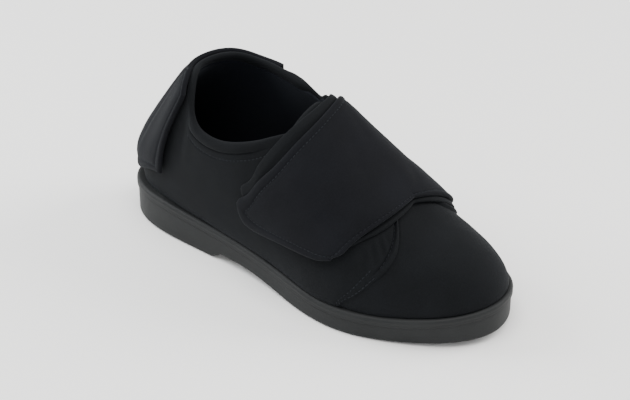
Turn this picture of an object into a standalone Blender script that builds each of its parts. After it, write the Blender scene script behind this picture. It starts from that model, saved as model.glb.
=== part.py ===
# A right orthopedic shoe: unit sole, insole, padded textile upper, tongue,
# wide instep strap on its under layer, and a strap that wraps the heel.
# Metres. +X runs to the toe, +Y to the inner side of the foot, +Z up.
# The origin lies on the floor, under the middle of the shoe.
import math
from collections import namedtuple

import bmesh
import bpy
import numpy as np
from mathutils import Matrix, Vector

for old in list(bpy.data.objects):
    bpy.data.objects.remove(old)

# Sole
SOLE_LENGTH = 0.292
BALL_WIDTH = 0.112
HEEL_TOP = 0.027
FOREPART_TOP = 0.0174
TOE_RISE = 0.0098
TOE_SPRING = 0.005
WAIST_LIFT = 0.0050
LIP_RADIUS = 0.0026
CORNER_CUT = 0.3
LIP_HEIGHT = 0.0052
LIP_PROUD = 0.0009
EDGE_ROUND = 0.0022

# Upper
INSTEP_HEIGHT = 0.1075
COLLAR_HEIGHT = 0.112
WALL = 0.003
FEATHER_INSET = 0.003
LEAN_START = 0.045
LEAN_EASE = 0.008
LEAN_REACH = 0.120
LEAN_RATE = 0.60
COLLAR_ROLL = 0.0016
QUARTER_LAP = 0.0012
# Half of the throat's width, to the outer and to the inner side
THROAT_HALF_WIDTH = {-1: 0.026, 1: 0.012}

# Loose layers
CLEARANCE = 0.0003
PLY_GAP = 0.0006
INSOLE_THICKNESS = 0.003
INSOLE_EASE = 0.0008
TONGUE_THICKNESS = 0.0045
BASE_THICKNESS = 0.0014
BASE_MARGIN = 0.0075
STRAP_THICKNESS = 0.0036
HEEL_STRAP_THICKNESS = 0.0036

# Places along the shoe, as shares of the sole's length
THROAT_START = 0.49
INNER_NARROWS = 0.45
THROAT_NARROWS = 0.62
THROAT_END = 0.66
TOP_FALLS = 0.15
TOP_FALL = 0.50
TOE_LIFTS = 0.75
BREAST_FOOT = 0.302
BREAST_HEAD = 0.332
WAIST_ENDS = 0.382
TREAD_START = 0.60
TREAD_END = 0.72

# Half widths of the sole, as shares of the ball width
Outline = namedtuple("Outline", "at lateral medial")
OUTLINE = (
    Outline(0.000, 0.000, 0.000), Outline(0.035, 0.205, 0.210), Outline(0.090, 0.292, 0.300),
    Outline(0.170, 0.338, 0.338), Outline(0.280, 0.360, 0.326), Outline(0.400, 0.391, 0.306),
    Outline(0.520, 0.452, 0.342), Outline(0.620, 0.513, 0.418), Outline(0.700, 0.524, 0.470),
    Outline(0.780, 0.479, 0.478), Outline(0.860, 0.394, 0.430), Outline(0.930, 0.288, 0.335),
    Outline(0.980, 0.156, 0.192), Outline(1.000, 0.000, 0.000))

# Sections of the last. spine: place of the ridge along the sole; aside: ridge towards the
# inner side and swell of the wall, both shares of the ball width; ridge: share of the
# instep height; across and up: fullness; inset: share of the feather inset; tilt: fall of
# the top towards the toe
Section = namedtuple("Section", "at spine aside ridge across up swell inset tilt")
SECTIONS = (
    Section(0.00, 0.160, 0.000, 1.535, 2.2, 2.50, 0.000, 2.2, 0.00),
    Section(0.05, 0.165, 0.000, 1.535, 2.2, 2.60, 0.004, 2.1, 0.00),
    Section(0.15, 0.200, 0.009, 1.535, 2.3, 2.80, 0.016, 1.8, 0.00),
    Section(0.25, 0.270, 0.018, 1.516, 2.4, 3.00, 0.034, 1.3, 0.00),
    Section(0.35, 0.355, 0.036, 1.400, 2.4, 2.90, 0.036, 1.0, 0.00),
    Section(0.45, 0.450, 0.060, 1.212, 2.2, 2.40, 0.027, 1.0, 0.00),
    Section(0.55, 0.550, 0.070, 1.008, 2.0, 2.15, 0.018, 1.0, 0.00),
    Section(0.65, 0.645, 0.070, 0.822, 2.0, 2.00, 0.011, 1.0, 0.05),
    Section(0.75, 0.722, 0.060, 0.665, 2.0, 1.82, 0.009, 1.0, 0.22),
    Section(0.85, 0.762, 0.048, 0.600, 2.0, 1.62, 0.009, 1.0, 0.35),
    Section(0.95, 0.783, 0.036, 0.578, 2.0, 1.48, 0.009, 1.0, 0.37),
    Section(1.00, 0.788, 0.036, 0.573, 2.0, 1.45, 0.009, 1.0, 0.37))

# Height of the collar's edge, as shares of the collar height
Topline = namedtuple("Topline", "at lateral medial")
TOPLINE = (
    Topline(0.000, 1.098, 1.098), Topline(0.060, 1.085, 1.098), Topline(0.126, 1.000, 1.078),
    Topline(0.176, 0.915, 1.060), Topline(0.232, 0.857, 1.050), Topline(0.284, 0.838, 1.048),
    Topline(0.347, 0.845, 1.048), Topline(0.394, 0.874, 1.050), Topline(0.432, 0.908, 1.054),
    Topline(0.469, 0.948, 1.080), Topline(0.500, 0.990, 1.130), Topline(0.560, 1.150, 1.250))

# Front edge of the quarters over the vamp: way down from the ridge, and place
Seam = namedtuple("Seam", "down at")
SEAM = (
    Seam(0.00, 0.735), Seam(0.10, 0.747), Seam(0.22, 0.784), Seam(0.33, 0.806),
    Seam(0.42, 0.811), Seam(0.51, 0.807), Seam(0.60, 0.795), Seam(0.72, 0.770),
    Seam(0.84, 0.743), Seam(1.00, 0.705))

# Rows of the upper's wall: way up from the sole to its edge, and the collar roll there
Wall = namedtuple("Wall", "up roll")
WALL_ROWS = (
    Wall(0.00, 0.0), Wall(0.10, 0.0), Wall(0.19, 0.0), Wall(0.28, 0.0), Wall(0.37, 0.0),
    Wall(0.48, 0.0), Wall(0.59, 0.0), Wall(0.70, 0.0), Wall(0.80, 0.0), Wall(0.87, 0.0),
    Wall(0.895, 0.9), Wall(0.94, 1.0), Wall(0.98, 0.5), Wall(1.00, -0.4))

# Instep strap: way over from its free end to its root, with its back and front edges
Strap = namedtuple("Strap", "over back front margin")
STRAP = (
    Strap(0.00, 0.410, 0.676, 0.0), Strap(0.03, 0.428, 0.689, 0.1), Strap(0.08, 0.452, 0.704, 0.4),
    Strap(0.15, 0.481, 0.722, 0.8), Strap(0.25, 0.507, 0.750, 0.9), Strap(0.35, 0.521, 0.773, 0.8),
    Strap(0.50, 0.518, 0.791, 0.6), Strap(0.65, 0.498, 0.786, 0.6), Strap(0.80, 0.478, 0.765, 0.5),
    Strap(1.00, 0.450, 0.705, 0.5))
# Its free end, from the back corner to the front corner: way down from the ridge
StrapEnd = namedtuple("StrapEnd", "along down")
STRAP_END = (
    StrapEnd(0.00, 0.856), StrapEnd(0.04, 0.886), StrapEnd(0.12, 0.898), StrapEnd(0.30, 0.872),
    StrapEnd(0.56, 0.820), StrapEnd(0.78, 0.775), StrapEnd(0.91, 0.740), StrapEnd(1.00, 0.700))
STRAP_ROOT = 0.93
BASE_SHORT = 0.05

# Heel strap: from its free end on the outer side to its root on the inner side, the way
# down of its lower edge
HeelStrap = namedtuple("HeelStrap", "along low")
HEEL_STRAP = (
    HeelStrap(0.00, 0.950), HeelStrap(0.15, 0.972), HeelStrap(0.40, 0.995), HeelStrap(0.70, 0.990),
    HeelStrap(1.00, 0.970))
HEEL_STRAP_END_LOW = 0.160
HEEL_STRAP_END_TOP = 0.125
HEEL_STRAP_ROOT = 0.300
HEEL_STRAP_SHORT = 0.012

# Where the collar roll rises and ends on the outer and the inner side
ROLL_REACH = {-1: (0.18, 0.47), 1: (0.32, 0.44)}
ROLL_FADE = 0.05

TONGUE_TOP = 0.496
TONGUE_TOP_CURVE = 0.016
TONGUE_TOE = 0.705
TONGUE_HALF = 0.43

# Columns across the instep strap, closer at its edges
STRAP_COLUMNS = (0, 0.02, 0.06, 0.14, 0.23, 0.32, 0.41, 0.5, 0.59, 0.68, 0.77, 0.86, 0.94, 0.98, 1)

# Turns: a small step, half of the ridge's width, and the upper's column on the quarters' front edge with its reach
STEP = 0.001
RIDGE_HALF = 0.02
SEAM_COLUMN = 0.68
SEAM_PULL_BACK = 0.07
SEAM_PULL_FRONT = 0.09
SEAM_EDGE = 0.0014

MERGE = 0.000002
CORNER_POWER = 8
SHARP_ANGLE = 40
RIM_DEPTH = 0.6
SWELL_SKEW = 0.6
HALVINGS = 24


class Curve:
    """Cubic spline through hand-set rows; level ends where flat, else straight ones."""

    def __init__(self, at, value, flat):
        self.at = np.array(at)
        self.value = np.array(value)
        count = len(at)
        gap = np.diff(self.at)
        slope = np.diff(self.value) / gap
        system = np.zeros((count, count))
        right = np.zeros(count)
        for i in range(1, count - 1):
            system[i, i - 1:i + 2] = gap[i - 1], 2 * (gap[i - 1] + gap[i]), gap[i]
            right[i] = 6 * (slope[i] - slope[i - 1])
        if flat:
            system[0, :2] = 2 * gap[0], gap[0]
            right[0] = 6 * slope[0]
            system[-1, -2:] = gap[-1], 2 * gap[-1]
            right[-1] = -6 * slope[-1]
        else:
            system[0, 0] = system[-1, -1] = 1
        self.bend = np.linalg.solve(system, right)

    def __call__(self, t):
        t = min(max(t, self.at[0]), self.at[-1])
        i = min(max(int(np.searchsorted(self.at, t, side="right")) - 1, 0), len(self.at) - 2)
        gap = self.at[i + 1] - self.at[i]
        low, high = (self.at[i + 1] - t) / gap, (t - self.at[i]) / gap
        curved = (low**3 - low) * self.bend[i] + (high**3 - high) * self.bend[i + 1]
        return float(low * self.value[i] + high * self.value[i + 1] + curved * gap * gap / 6)


def turn_of(share):
    """Turn of a place along the sole: 0 at the heel, 1 at the toe, close-set at both."""
    return math.acos(1 - 2 * share) / math.pi


def share_of(turn):
    return (1 - math.cos(math.pi * turn)) / 2


def column(rows, name, flat=True, key="at"):
    at = [getattr(row, key) for row in rows]
    if key == "at":
        at = [turn_of(place) for place in at]
    return Curve(at, [getattr(row, name) for row in rows], flat)


EDGE = {-1: column(OUTLINE, "lateral", False), 1: column(OUTLINE, "medial", False)}
SPINE = column(SECTIONS, "spine")
ASIDE = column(SECTIONS, "aside")
RIDGE = column(SECTIONS, "ridge")
ACROSS = column(SECTIONS, "across")
UP = column(SECTIONS, "up")
SWELL = column(SECTIONS, "swell")
INSET = column(SECTIONS, "inset")
TILT = column(SECTIONS, "tilt")
COLLAR = {-1: column(TOPLINE, "lateral"), 1: column(TOPLINE, "medial")}
SEAM_AT = column(SEAM, "at", key="down")
STRAP_BACK = column(STRAP, "back", key="over")
STRAP_FRONT = column(STRAP, "front", key="over")
STRAP_MARGIN = column(STRAP, "margin", key="over")
STRAP_LOW = column(STRAP_END, "down", False, key="along")
HEEL_STRAP_LOW = column(HEEL_STRAP, "low", key="along")


def ease(low, high, value):
    """0 below low, 1 above high, with a soft ramp between them."""
    t = min(max((value - low) / (high - low), 0), 1)
    return t * t * (3 - 2 * t)


def edge_point(turn, side):
    """The sole's edge in plan. Past either end it runs on along the other side."""
    if turn < 0:
        turn, side = -turn, -side
    elif turn > 1:
        turn, side = 2 - turn, -side
    return share_of(turn) * SOLE_LENGTH, side * EDGE[side](turn) * BALL_WIDTH


def inset_edge(turn, side, inset):
    x, y = edge_point(turn, side)
    back, front = edge_point(turn - STEP, side), edge_point(turn + STEP, side)
    dx, dy = front[0] - back[0], front[1] - back[1]
    run = math.hypot(dx, dy)
    return x + side * inset * dy / run, y - side * inset * dx / run


def sole_top(x):
    share = x / SOLE_LENGTH
    drop = min(max((share - TOP_FALLS) / TOP_FALL, 0), 1)
    rise = max((share - TOE_LIFTS) / (1 - TOE_LIFTS), 0)
    return HEEL_TOP + (FOREPART_TOP - HEEL_TOP) * drop + TOE_RISE * rise * rise


def sole_floor(x):
    share = x / SOLE_LENGTH
    breast = (share - BREAST_FOOT) / (BREAST_HEAD - BREAST_FOOT)
    waist = 1 - ease(WAIST_ENDS, TREAD_START, share)
    spring = max((share - TREAD_END) / (1 - TREAD_END), 0)
    return WAIST_LIFT * min(max(breast, 0), 1) * waist + TOE_SPRING * spring * spring


def bare(turn, down):
    """Point of the last: down is 0 on the ridge, -1 at the outer sole edge, +1 at the inner."""
    if turn < 0:
        turn, down = -turn, -down
    elif turn > 1:
        turn, down = 2 - turn, -down
    side = -1 if down < 0 else 1
    foot_x, foot_y = inset_edge(turn, side, INSET(turn) * FEATHER_INSET)
    spine_x, spine_y = SPINE(turn) * SOLE_LENGTH, ASIDE(turn) * BALL_WIDTH
    low, high = sole_top(foot_x) + CLEARANCE, RIDGE(turn) * INSTEP_HEIGHT
    angle = (1 - abs(down)) * math.pi / 2
    across = max(math.cos(angle), 0) ** (2 / ACROSS(turn))
    up = math.sin(angle) ** (2 / UP(turn))
    dx, dy = foot_x - spine_x, foot_y - spine_y
    fall = TILT(turn) * dx * across * (1 - across) ** 2
    swell = SWELL(turn) * BALL_WIDTH * math.sin(math.pi * up**SWELL_SKEW)
    across *= 1 + swell / math.hypot(dx, dy)
    x, y, z = spine_x + dx * across, spine_y + dy * across, low + (high - low) * up - fall
    over = max(z - LEAN_START, 0)
    fade = 0.5 + 0.5 * math.cos(math.pi * min(max(x / LEAN_REACH, 0), 1))
    return Vector((x + LEAN_RATE * fade * over * over / (over + LEAN_EASE), y, z))


def facing(turn, down):
    """Outward direction of the last."""
    along = bare(turn + STEP, down) - bare(turn - STEP, down)
    across = bare(turn, min(down + STEP, 1)) - bare(turn, max(down - STEP, -1))
    normal = along.cross(across)
    if abs(down) > 1 - STEP:
        normal.z = 0
    return normal.normalized()


def last(turn, down, offset):
    """Point of the last moved outwards by offset; its foot only moves level."""
    if abs(down) < RIDGE_HALF:
        inner = (down + RIDGE_HALF) / (2 * RIDGE_HALF)
        normal = facing(turn, -RIDGE_HALF) * (1 - inner) + facing(turn, RIDGE_HALF) * inner
    else:
        normal = facing(turn, down)
    return bare(turn, down) + normal.normalized() * offset


def widest(holds):
    """Largest way down, found by halving, for which holds is true."""
    low, high = 0.0, 1.0
    if not holds(low):
        return 0.0
    for _ in range(HALVINGS):
        middle = (low + high) / 2
        if holds(middle):
            low = middle
        else:
            high = middle
    return low


def trim(turn, side):
    """Way down from the ridge to the upper's edge: the collar, then the throat, then none."""
    height = COLLAR[side](turn) * COLLAR_HEIGHT
    along = max((share_of(turn) - THROAT_START) / (THROAT_END - THROAT_START), 0)
    outer = THROAT_HALF_WIDTH[-1]
    width = outer + (THROAT_HALF_WIDTH[side] - outer) * ease(INNER_NARROWS, THROAT_START, share_of(turn))
    width *= math.sqrt(max(1 - along * along, 0))
    ridge = bare(turn, 0)
    collar = widest(lambda down: bare(turn, side * down).z > height)
    throat = widest(lambda down: (bare(turn, side * down) - ridge).length < width)
    return (collar**CORNER_POWER + throat**CORNER_POWER) ** (1 / CORNER_POWER)


def finish(name, colour, roughness):
    """Plain Principled material of the given colour."""
    material = bpy.data.materials.new(name)
    material.use_nodes = True
    shader = material.node_tree.nodes["Principled BSDF"]
    shader.inputs["Base Color"].default_value = (*colour, 1)
    shader.inputs["Roughness"].default_value = roughness
    shader.inputs["Metallic"].default_value = 0
    return material


def add(name, mesh, material):
    """Merge what coincides, close the mesh and make it an object."""
    bmesh.ops.remove_doubles(mesh, verts=mesh.verts, dist=MERGE)
    bmesh.ops.triangulate(mesh, faces=mesh.faces)
    bmesh.ops.recalc_face_normals(mesh, faces=mesh.faces)
    data = bpy.data.meshes.new(name)
    mesh.to_mesh(data)
    mesh.free()
    data.shade_smooth()
    data.set_sharp_from_angle(angle=math.radians(SHARP_ANGLE))
    data.materials.append(material)
    thing = bpy.data.objects.new(name, data)
    bpy.context.collection.objects.link(thing)
    return thing


def sheet(mesh, columns, rows, place):
    """Grid whose corner (i, j) lies at place(columns[i], rows[j])."""
    wide, high = len(columns) - 1, len(rows) - 1
    grid = bmesh.ops.create_grid(mesh, x_segments=wide, y_segments=high, size=1)
    for vertex in grid["verts"]:
        i = round((vertex.co.x + 1) / 2 * wide)
        j = round((vertex.co.y + 1) / 2 * high)
        vertex.co = place(columns[i], rows[j])


def slab(name, columns, rows, place, material):
    """Closed sheet between place(.., 0) and place(.., 1), with softened edges."""
    wide, high = len(columns) - 1, len(rows) - 1
    mesh = bmesh.new()
    bmesh.ops.create_grid(mesh, x_segments=wide, y_segments=high, size=1)
    raised = bmesh.ops.extrude_face_region(mesh, geom=mesh.faces[:])["geom"]
    bmesh.ops.translate(mesh, verts=[v for v in raised if isinstance(v, bmesh.types.BMVert)], vec=(0, 0, 1))
    for vertex in mesh.verts:
        i = round((vertex.co.x + 1) / 2 * wide)
        j = round((vertex.co.y + 1) / 2 * high)
        rim = i in (0, wide) or j in (0, high)
        depth = vertex.co.z * (RIM_DEPTH if rim else 1)
        vertex.co = place(columns[i], rows[j], depth)
    return add(name, mesh, material)


def spread(*stops):
    """Values between (stop, steps to the next) pairs, the last stop with no steps."""
    values = []
    for (start, steps), (end, _) in zip(stops, stops[1:]):
        values += [start + (end - start) * k / steps for k in range(steps)]
    return values + [stops[-1][0]]


def round_trip(turns):
    """Columns from the heel along the outer side to the toe, and back along the inner side."""
    return [(turn, -1) for turn in turns] + [(turn, 1) for turn in reversed(turns)][1:]


SOLE_TURNS = spread(
    (0, 11), (turn_of(BREAST_FOOT), 2), (turn_of(BREAST_HEAD), 9), (turn_of(TREAD_START), 4),
    (turn_of(TREAD_END), 12), (1, 0))


def ladder(name, rungs, material):
    """Closed form of rings round the sole. A rung gives its inset, its height and whether
    both sides meet there on the middle line."""
    def place(turn_and_side, rung):
        turn, side = turn_and_side
        inset, height, level = rung
        x, y = inset_edge(turn, side, inset)
        if level:
            far_x, far_y = inset_edge(turn, -side, inset)
            x, y = (x + far_x) / 2, (y + far_y) / 2
        return Vector((x, y, height(x)))

    mesh = bmesh.new()
    sheet(mesh, round_trip(SOLE_TURNS), rungs, place)
    return add(name, mesh, material)


def make_outsole(material):
    """Unit sole: rounded lip, wall, softened ground edge, heel block, waist and toe spring."""
    def below(drop):
        return lambda x: sole_top(x) - drop

    def above(rise):
        return lambda x: sole_floor(x) + rise

    rungs = [
        (LIP_RADIUS, below(0), True), (LIP_RADIUS, below(0), False),
        (LIP_RADIUS * CORNER_CUT, below(LIP_RADIUS * CORNER_CUT), False), (0, below(LIP_RADIUS), False),
        (0, below(LIP_HEIGHT), False), (LIP_PROUD, below(LIP_HEIGHT + LIP_PROUD), False),
        (LIP_PROUD, above(EDGE_ROUND), False),
        (LIP_PROUD + EDGE_ROUND * CORNER_CUT, above(EDGE_ROUND * CORNER_CUT), False),
        (LIP_PROUD + EDGE_ROUND, above(0), False), (LIP_PROUD + EDGE_ROUND, above(0), True)]
    return ladder("outsole", rungs, material)


def make_insole(material):
    """Flat sock and board inside the upper's lower edge."""
    inset = INSET(0) * FEATHER_INSET + WALL + INSOLE_EASE
    low = CLEARANCE
    high = CLEARANCE + INSOLE_THICKNESS

    def above(rise):
        return lambda x: sole_top(x) + rise

    rungs = [
        (inset + INSOLE_EASE, above(high), True), (inset + INSOLE_EASE, above(high), False),
        (inset, above(high - INSOLE_EASE), False), (inset, above(low), False),
        (inset, above(low), True)]
    return ladder("insole", rungs, material)


def seam_turn(turn, down):
    """Pull the columns near the quarters' front edge onto that edge."""
    reach = SEAM_PULL_BACK if turn < SEAM_COLUMN else SEAM_PULL_FRONT
    pull = max(1 - abs(turn - SEAM_COLUMN) / reach, 0)
    return turn + pull * (turn_of(SEAM_AT(abs(down))) - SEAM_COLUMN)


def roll_at(turn, side):
    """Presence of the collar roll: none under the heel strap, none under the instep strap."""
    starts, ends = ROLL_REACH[side]
    share = share_of(turn)
    rises = ease(starts, starts + ROLL_FADE, share)
    return rises * (1 - ease(ends - ROLL_FADE, ends, share))


def make_upper(material):
    """One hollow wall from the sole to the collar, with quarters lapped over the vamp."""
    turns = spread(
        (0, 19), (turn_of(THROAT_START), 5), (turn_of(THROAT_NARROWS), 5),
        (turn_of(THROAT_END), 2), (SEAM_COLUMN - SEAM_PULL_BACK / 2, 1),
        (SEAM_COLUMN - SEAM_EDGE, 1), (SEAM_COLUMN + SEAM_EDGE, 2),
        (SEAM_COLUMN + SEAM_PULL_FRONT, 8), (1, 0))
    edges = {(turn, side): trim(turn, side) for turn in turns for side in (-1, 1)}

    def skin(outside):
        def place(turn_and_side, row):
            turn, side = turn_and_side
            down = side * (1 - row.up * (1 - edges[turn_and_side]))
            lap = QUARTER_LAP if turn < SEAM_COLUMN else 0
            roll = COLLAR_ROLL * row.roll * roll_at(turn, side)
            offset = lap + roll if outside else -WALL - roll
            return last(seam_turn(turn, down), down, offset)
        return place

    mesh = bmesh.new()
    for outside in (True, False):
        sheet(mesh, round_trip(turns), WALL_ROWS, skin(outside))
    bmesh.ops.remove_doubles(mesh, verts=mesh.verts, dist=MERGE)
    rims = [edge for edge in mesh.edges if edge.is_boundary]
    split = (HEEL_TOP + COLLAR_HEIGHT) / 3
    for foot in (True, False):
        loops = [edge for edge in rims if (edge.verts[0].co.z < split) == foot]
        bmesh.ops.bridge_loops(mesh, edges=loops)
    return add("upper", mesh, material)


def make_tongue(material):
    """Padded tongue under the throat, its top edge standing above the collar's front."""
    low = -WALL - 2 * PLY_GAP - TONGUE_THICKNESS

    def place(over, along, depth):
        top = TONGUE_TOP - TONGUE_TOP_CURVE * over * over
        share = top + (TONGUE_TOE - top) * along
        return last(turn_of(share), over * TONGUE_HALF, low + TONGUE_THICKNESS * depth)

    sides = spread((-1, 1), (-0.93, 10), (0.93, 1), (1, 0))
    ends = spread((0, 1), (0.02, 10), (0.98, 1), (1, 0))
    return slab("tongue", sides, ends, place, material)


def centre(things):
    """Move every mesh alike, so that the origin is under the middle of them all."""
    corners = [vertex.co for thing in things for vertex in thing.data.vertices]
    shift = [-(max(c[axis] for c in corners) + min(c[axis] for c in corners)) / 2 for axis in (0, 1)]
    for thing in things:
        thing.data.transform(Matrix.Translation((*shift, 0)))


def strap_place(low, thickness, widen, shorten):
    """Places on the instep strap or its under layer, which is wider and shorter."""
    def place(along, over, depth):
        margin = widen * STRAP_MARGIN(over) / SOLE_LENGTH
        back, front = STRAP_BACK(over) - margin, STRAP_FRONT(over) + margin
        free = shorten - STRAP_LOW(along)
        down = free + (STRAP_ROOT - free) * over
        return last(turn_of(back + (front - back) * along), down, low + thickness * depth)
    return place


def make_strap_base(material):
    low = QUARTER_LAP + PLY_GAP
    place = strap_place(low, BASE_THICKNESS, BASE_MARGIN, BASE_SHORT)
    over = spread((0, 1), (0.02, 3), (0.15, 15), (0.99, 1), (1, 0))
    return slab("strap_base", STRAP_COLUMNS, over, place, material)


def make_strap(material):
    low = QUARTER_LAP + BASE_THICKNESS + 2 * PLY_GAP
    place = strap_place(low, STRAP_THICKNESS, 0, 0)
    over = spread((0, 1), (0.01, 3), (0.12, 16), (0.99, 1), (1, 0))
    return slab("strap", STRAP_COLUMNS, over, place, material)


def make_heel_strap(material):
    """Padded strap round the heel, from its root on the inner side to its free outer end."""
    low = QUARTER_LAP + 2 * PLY_GAP

    def place(along, up, depth):
        end = HEEL_STRAP_END_LOW + (HEEL_STRAP_END_TOP - HEEL_STRAP_END_LOW) * up
        turn = -turn_of(end) + (turn_of(HEEL_STRAP_ROOT) + turn_of(end)) * along
        side = 1 if turn > 0 else -1
        bottom = HEEL_STRAP_LOW(along)
        top = trim(abs(turn), side) + HEEL_STRAP_SHORT
        down = side * (bottom + (top - bottom) * up)
        return last(abs(turn), down, low + HEEL_STRAP_THICKNESS * depth)

    along = spread((0, 1), (0.02, 20), (0.98, 1), (1, 0))
    up = spread((0, 1), (0.03, 9), (0.97, 1), (1, 0))
    return slab("heel_strap", along, up, place, material)


cloth = finish("black_cloth", (0.012, 0.013, 0.015), 0.9)
lining = finish("dark_lining", (0.006, 0.007, 0.010), 0.95)
tread = finish("grey_rubber", (0.045, 0.047, 0.050), 0.6)
centre([
    make_outsole(tread), make_insole(lining), make_upper(cloth),
    make_tongue(finish("tongue_cloth", (0.010, 0.011, 0.013), 0.9)),
    make_strap_base(finish("strap_base_cloth", (0.012, 0.013, 0.015), 0.9)),
    make_strap(finish("strap_cloth", (0.014, 0.015, 0.017), 0.9)),
    make_heel_strap(finish("heel_strap_cloth", (0.014, 0.015, 0.017), 0.9))])
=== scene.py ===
import bisect
import functools
import math
import bmesh
import bpy
from mathutils import Matrix, Vector, noise


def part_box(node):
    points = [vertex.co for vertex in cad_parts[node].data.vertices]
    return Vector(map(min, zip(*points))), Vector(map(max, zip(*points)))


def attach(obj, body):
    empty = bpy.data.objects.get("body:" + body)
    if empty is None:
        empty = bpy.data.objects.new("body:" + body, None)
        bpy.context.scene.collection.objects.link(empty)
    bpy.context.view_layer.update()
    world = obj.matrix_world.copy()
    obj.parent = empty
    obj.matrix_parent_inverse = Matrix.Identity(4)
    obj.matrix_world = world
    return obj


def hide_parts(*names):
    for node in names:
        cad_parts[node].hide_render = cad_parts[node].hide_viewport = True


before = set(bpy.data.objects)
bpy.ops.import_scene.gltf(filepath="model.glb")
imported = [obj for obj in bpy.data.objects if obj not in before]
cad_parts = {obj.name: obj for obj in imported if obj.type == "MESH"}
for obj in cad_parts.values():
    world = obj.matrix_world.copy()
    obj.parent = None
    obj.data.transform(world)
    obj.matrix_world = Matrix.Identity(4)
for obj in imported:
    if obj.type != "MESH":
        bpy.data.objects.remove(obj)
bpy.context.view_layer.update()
soleLow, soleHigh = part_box("outsole")
mm = 0.001
print("frame loaded")

# the last that every layer follows, as shares of a few sizes, from heel to toe
lastSizes = {
    "length": soleHigh.x - soleLow.x,
    "ballWidth": 0.112,
    "heelTop": soleHigh.z,
    "foreTop": 0.0174,
    "toeRise": 0.0098,
    "toeSpring": 0.005,
    "waistLift": 0.005,
    "instep": 0.1075,
    "collar": 0.112,
    "feather": 0.003,
    "gap": 0.0003,
    "leanStart": 0.045,
    "leanEase": 0.008,
    "leanReach": 0.120,
    "leanRate": 0.60,
}
outline = {
    "at": (0, 0.035, 0.09, 0.17, 0.28, 0.40, 0.52, 0.62, 0.70, 0.78, 0.86, 0.93, 0.98, 1),
    "outer": (0, 0.205, 0.292, 0.338, 0.360, 0.391, 0.452, 0.513, 0.524, 0.479, 0.394, 0.288, 0.156, 0),
    "inner": (0, 0.210, 0.300, 0.338, 0.326, 0.306, 0.342, 0.418, 0.470, 0.478, 0.430, 0.335, 0.192, 0),
}
sections = {
    "at": (0, 0.05, 0.15, 0.25, 0.35, 0.45, 0.55, 0.65, 0.75, 0.85, 0.95, 1),
    "spine": (0.160, 0.165, 0.200, 0.270, 0.355, 0.450, 0.550, 0.645, 0.722, 0.762, 0.783, 0.788),
    "aside": (0, 0, 0.009, 0.018, 0.036, 0.060, 0.070, 0.070, 0.060, 0.048, 0.036, 0.036),
    "ridge": (1.535, 1.535, 1.535, 1.516, 1.400, 1.212, 1.008, 0.822, 0.665, 0.600, 0.578, 0.573),
    "across": (2.2, 2.2, 2.3, 2.4, 2.4, 2.2, 2.0, 2.0, 2.0, 2.0, 2.0, 2.0),
    "up": (2.50, 2.60, 2.80, 3.00, 2.90, 2.40, 2.15, 2.00, 1.82, 1.62, 1.48, 1.45),
    "swell": (0, 0.004, 0.016, 0.034, 0.036, 0.027, 0.018, 0.011, 0.009, 0.009, 0.009, 0.009),
    "inset": (2.2, 2.1, 1.8, 1.3, 1, 1, 1, 1, 1, 1, 1, 1),
    "tilt": (0, 0, 0, 0, 0, 0, 0, 0.05, 0.22, 0.35, 0.37, 0.37),
}
topline = {
    "at": (0, 0.06, 0.126, 0.176, 0.232, 0.284, 0.347, 0.394, 0.432, 0.469, 0.50, 0.56),
    "outer": (1.098, 1.085, 1.000, 0.915, 0.857, 0.838, 0.845, 0.874, 0.908, 0.948, 0.990, 1.150),
    "inner": (1.098, 1.098, 1.078, 1.060, 1.050, 1.048, 1.048, 1.050, 1.054, 1.080, 1.130, 1.250),
}


class Spline:
    # smooth curve through given stops, level at its ends unless straight is asked for
    def __init__(self, at, value, straight=False):
        self.at, self.value = at, value
        count = len(at)
        gap = [b - a for a, b in zip(at, at[1:])]
        rise = [(b - a) / run for a, b, run in zip(value, value[1:], gap)]
        low, mid, high, bend = [0.0] * count, [1.0] * count, [0.0] * count, [0.0] * count
        for i in range(1, count - 1):
            low[i], mid[i], high[i] = gap[i - 1], 2 * (gap[i - 1] + gap[i]), gap[i]
            bend[i] = 6 * (rise[i] - rise[i - 1])
        if not straight:
            mid[0], high[0], bend[0] = 2 * gap[0], gap[0], 6 * rise[0]
            low[-1], mid[-1], bend[-1] = gap[-1], 2 * gap[-1], -6 * rise[-1]
        for i in range(1, count):
            back = low[i] / mid[i - 1]
            mid[i] -= back * high[i - 1]
            bend[i] -= back * bend[i - 1]
        bend[-1] /= mid[-1]
        for i in range(count - 2, -1, -1):
            bend[i] = (bend[i] - high[i] * bend[i + 1]) / mid[i]
        self.bend = bend

    def __call__(self, t):
        at = self.at
        t = min(max(t, at[0]), at[-1])
        i = min(max(bisect.bisect_right(at, t) - 1, 0), len(at) - 2)
        gap = at[i + 1] - at[i]
        a, b = (at[i + 1] - t) / gap, (t - at[i]) / gap
        curved = (a**3 - a) * self.bend[i] + (b**3 - b) * self.bend[i + 1]
        return a * self.value[i] + b * self.value[i + 1] + curved * gap * gap / 6


def turnOf(share):
    return math.acos(1 - 2 * share) / math.pi


def shareOf(turn):
    return (1 - math.cos(math.pi * turn)) / 2


def alongShoe(table, name, straight=False):
    return Spline([turnOf(place) for place in table["at"]], table[name], straight)


def ramp(low, high, value):
    t = min(max((value - low) / (high - low), 0), 1)
    return t * t * (3 - 2 * t)


def ridgeOf(middle, width, value):
    # soft ridge of height 1, as wide as a seam
    return math.exp(-(((value - middle) / width) ** 2))


edgeOf = {-1: alongShoe(outline, "outer", True), 1: alongShoe(outline, "inner", True)}
collarOf = {-1: alongShoe(topline, "outer"), 1: alongShoe(topline, "inner")}
sectionOf = [alongShoe(sections, name) for name in list(sections)[1:]]
outerReach = max(edgeOf[-1](k / 400) for k in range(401)) * lastSizes["ballWidth"]
shift = Vector((soleLow.x, soleLow.y + outerReach, 0))


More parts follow.
